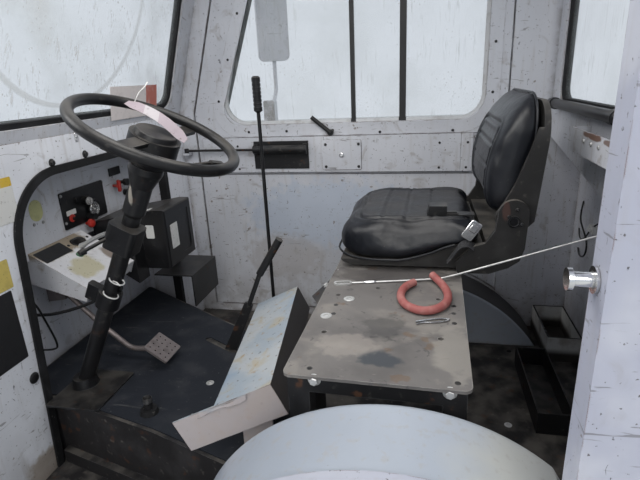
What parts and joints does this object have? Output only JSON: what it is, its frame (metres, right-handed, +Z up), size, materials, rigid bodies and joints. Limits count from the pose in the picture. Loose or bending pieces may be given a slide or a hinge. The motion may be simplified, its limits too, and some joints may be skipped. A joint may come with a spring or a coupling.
{
  "type": "baggage tractor cab",
  "caption": "Sheet-metal cab of a baggage tractor with hinged doors, raked windscreen, steering wheel, seat deck, passenger seat and rear locker; the driver's seat is missing.",
  "frame": {"origin": "underside of the sills, midway between the four chassis bolts", "axes": "+Z up, -X towards the vehicle's front, +Y towards the vehicle's right side"},
  "size_m": [1.72, 2.7283, 1.658],
  "materials": {
    "white_paint": "chalky white paint, scuffed and grimy",
    "arch_paint": "dull white paint with a brown edge",
    "frame_black": "black chassis paint with rust",
    "clear_glass": "dirty glass",
    "black_rubber": "weathered rubber",
    "mat_rubber": "worn ribless mat",
    "column_paint": "dark brown-black paint, rubbed",
    "black_plastic": "moulded, dusty",
    "deck_paint": "worn grey-brown deck paint",
    "heel_paint": "pale blue and white paint with rust stains",
    "platform_paint": "dark paint, rust at the lip",
    "pedal_steel": "bare worn steel",
    "seat_vinyl": "black worn vinyl with piping",
    "seat_plastic": "grey-brown moulded cover",
    "wire_steel": "stranded wire, dull",
    "red_hose": "faded red-orange hose",
    "bright_chrome": "polished"
  },
  "bodies": {
    "cab": {"underframe": "frame_black", "floor_pan": "platform_paint", "wheel_arch_left": "arch_paint", "wheel_arch_right": "arch_paint", "side_frame_right": "white_paint", "side_frame_left": "white_paint", "front_bulkhead": "white_paint", "footwell_trim": "black_rubber", "nose_shell": "white_paint", "windscreen_frame": "white_paint", "windscreen_glass": "clear_glass", "window_seals": "black_rubber", "rear_wall": "white_paint", "rear_glass": "clear_glass", "rear_locker": "white_paint", "window_roller": "black_plastic", "rear_ledge": "white_paint", "roof": "white_paint", "platform": "platform_paint", "floor_mat": "mat_rubber", "foot_switch": "black_rubber", "steering_column": "column_paint", "column_fittings": "black_plastic", "dash_panel": "white_paint", "dash_instruments": "black_plastic", "console": "white_paint", "heater_box": "black_plastic", "heater_bracket": "column_paint", "brake_pedal": "pedal_steel", "gear_lever": "black_plastic", "hand_brake": "frame_black", "deck_frame": "frame_black", "deck_plate": "deck_paint", "heel_box": "heel_paint", "floor_tray": "frame_black", "corner_tray": "white_paint", "seat_base": "seat_plastic", "seat_cushion": "seat_vinyl", "seat_belt": "black_plastic", "pull_cable": "wire_steel", "cable_eye": "wire_steel", "hose_grip": "red_hose", "door_strikers": "bright_chrome"},
    "steering": {"steering_wheel": "black_plastic", "horn_cap": "black_plastic"},
    "door_right": {"door_right": "white_paint", "door_right_sash": "black_rubber", "door_right_glass": "clear_glass", "door_right_fittings": "frame_black", "mirror_right": "white_paint"},
    "door_left": {"door_left": "white_paint", "door_left_sash": "black_rubber", "door_left_glass": "clear_glass", "door_left_fittings": "frame_black", "mirror_left": "white_paint"},
    "seat_back": {"seat_back": "seat_vinyl", "seat_shell": "seat_plastic"}
  },
  "joints": [
    {"name": "steering_turn", "type": "hinge", "parent": "cab", "child": "steering", "pos_m": [-0.32452, -0.19, 0.94578], "axis": [0.4384, 0, 0.8988], "range_deg": [-540, 540]},
    {"name": "door_right_swing", "type": "hinge", "parent": "cab", "child": "door_right", "pos_m": [-0.652, 0.744, 0.6], "axis": [0, 0, 1], "range_deg": [0, 97]},
    {"name": "door_left_swing", "type": "hinge", "parent": "cab", "child": "door_left", "pos_m": [-0.652, -0.744, 0.6], "axis": [0, 0, 1], "range_deg": [0, 97]},
    {"name": "seat_recline", "type": "hinge", "parent": "cab", "child": "seat_back", "pos_m": [0.487, 0.24, 0.712], "axis": [0, 1, 0], "range_deg": [-20, 6]}
  ]
}
